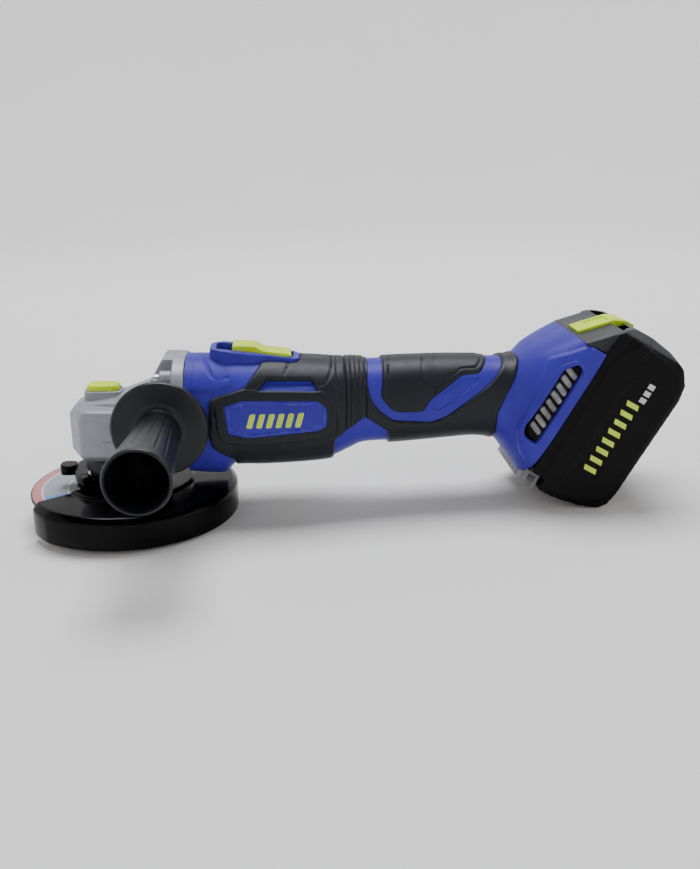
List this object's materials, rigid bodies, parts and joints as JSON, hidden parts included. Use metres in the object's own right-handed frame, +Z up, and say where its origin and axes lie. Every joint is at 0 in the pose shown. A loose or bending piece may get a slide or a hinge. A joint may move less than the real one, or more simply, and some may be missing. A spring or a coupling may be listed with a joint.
{
  "type": "angle grinder",
  "caption": "Battery angle grinder with a guarded abrasive disc on a right-angle gear head, slide switch, side handle, rubber-covered grip and slide-on battery pack.",
  "frame": {"origin": "centre of the spindle's lower end face, on the spindle axis", "axes": "+X back along the tool to the battery, +Z up the spindle away from the disc, side handle along -Y"},
  "size_m": [0.3821, 0.1813, 0.1182],
  "materials": {
    "blue_plastic": "satin moulded",
    "lime_plastic": "semi-gloss moulded",
    "soft_rubber": "matt overmoulded",
    "black_plastic": "satin moulded",
    "cast_alloy": "painted die casting",
    "guard_paint": "gloss black",
    "bright_steel": "ground",
    "zinc_plate": "zinc plated",
    "bonded_abrasive": "rough",
    "copper_wire": "enamelled copper",
    "circuit_board": "solder mask",
    "cell_wrap": "shrink wrap"
  },
  "bodies": {
    "housing": {"gear_case": "cast_alloy", "spindle_bearing_upper": "bright_steel", "spindle_bearing_lower": "bright_steel", "bearing_cap": "cast_alloy", "rotor_bearing_front": "bright_steel", "rotor_bearing_rear": "bright_steel", "bearing_plate": "zinc_plate", "gear_case_screw_1": "zinc_plate", "gear_case_screw_2": "zinc_plate", "gear_case_screw_3": "zinc_plate", "gear_case_screw_4": "zinc_plate", "air_baffle": "black_plastic", "stator_core": "bright_steel", "stator_windings": "copper_wire", "sensor_board": "circuit_board", "switch_bezel": "blue_plastic", "microswitch": "black_plastic", "housing_left": "blue_plastic", "housing_right": "blue_plastic", "overmould_left": "soft_rubber", "overmould_right": "soft_rubber", "thumb_pad_left": "soft_rubber", "thumb_pad_right": "soft_rubber", "side_panel_left": "blue_plastic", "side_panel_right": "blue_plastic", "vent_grille_left": "black_plastic", "vent_grille_right": "black_plastic", "foot_bracket": "zinc_plate", "control_board": "circuit_board", "terminal_block": "black_plastic"},
    "rotor": {"rotor_shaft": "bright_steel", "rotor_core": "bright_steel", "cooling_fan": "black_plastic", "pinion": "bright_steel"},
    "spindle": {"spindle": "bright_steel", "crown_gear": "bright_steel", "inner_flange": "zinc_plate", "abrasive_disc": "bonded_abrasive", "clamping_nut": "zinc_plate"},
    "guard": {"guard": "guard_paint", "guard_collar": "guard_paint"},
    "lever": {"guard_lever": "black_plastic"},
    "lock": {"lock_button": "lime_plastic", "lock_pin": "bright_steel", "lock_spring": "bright_steel"},
    "switch": {"switch_slider": "lime_plastic", "switch_rod": "zinc_plate"},
    "handle": {"side_handle": "black_plastic", "handle_stud": "zinc_plate"},
    "battery": {"battery_case_upper": "black_plastic", "battery_case_lower": "black_plastic", "battery_board": "circuit_board", "cell_pair_1": "cell_wrap", "cell_pair_2": "cell_wrap", "cell_pair_3": "cell_wrap", "cell_pair_4": "cell_wrap", "cell_pair_5": "cell_wrap"},
    "latch": {"battery_button": "lime_plastic"}
  },
  "joints": [
    {"name": "rotor_spin", "type": "hinge", "parent": "housing", "child": "rotor", "pos_m": [0, 0, 0.0566], "axis": [1, 0, 0], "continuous": true},
    {"name": "spindle_spin", "type": "hinge", "parent": "housing", "child": "spindle", "pos_m": [0, 0, 0], "axis": [0, 0, 1], "continuous": true},
    {"name": "guard_turn", "type": "hinge", "parent": "housing", "child": "guard", "pos_m": [0, 0, 0.0165], "axis": [0, 0, 1], "range_deg": [-90, 90]},
    {"name": "lever_open", "type": "hinge", "parent": "guard", "child": "lever", "pos_m": [-0.02343, -0.0164, 0.0185], "axis": [0, 0, 1], "range_deg": [0, 70]},
    {"name": "lock_press", "type": "slide", "parent": "housing", "child": "lock", "axis": [0, 0, -1], "range_m": [0, 0.004], "stiffness_N_per_m": 500, "springref_m": -0.004, "deforming": ["lock_spring"]},
    {"name": "switch_slide", "type": "slide", "parent": "housing", "child": "switch", "axis": [-1, 0, 0], "range_m": [0, 0.0065]},
    {"name": "handle_unscrew", "type": "slide", "parent": "housing", "child": "handle", "axis": [0, -1, 0], "range_m": [0, 0.045]},
    {"name": "battery_slide", "type": "slide", "parent": "housing", "child": "battery", "axis": [0.4848, 0, 0.8746], "range_m": [0, 0.08]},
    {"name": "latch_press", "type": "slide", "parent": "battery", "child": "latch", "axis": [0.2882, 0, -0.9576], "range_m": [0, 0.0025], "stiffness_N_per_m": 1200, "springref_m": -0.002}
  ],
  "couplings": [
    {"joint": "spindle_spin", "follows": "rotor_spin", "ratio": 0.33333}
  ]
}
